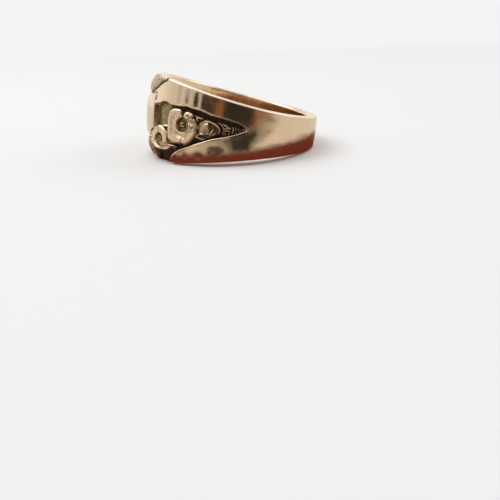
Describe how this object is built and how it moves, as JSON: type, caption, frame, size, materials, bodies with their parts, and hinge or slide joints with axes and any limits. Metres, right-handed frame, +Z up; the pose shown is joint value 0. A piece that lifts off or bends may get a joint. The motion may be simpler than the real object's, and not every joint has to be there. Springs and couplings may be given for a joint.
{
  "type": "gold ring",
  "caption": "Tapered gold finger ring with a broad rolled head, a plain tablet and shoulders carved with flowers and leaves.",
  "frame": {"origin": "centre of the ring's length and width, on the surface it lies on", "axes": "+Z up from the surface, -X towards the broad head, +X towards the narrow back; the finger hole leans back towards +X by the ring's taper"},
  "size_m": [0.021, 0.0208, 0.0095],
  "materials": {
    "gold": "polished"
  },
  "bodies": {
    "root": {"ring": "gold"}
  },
  "joints": []
}
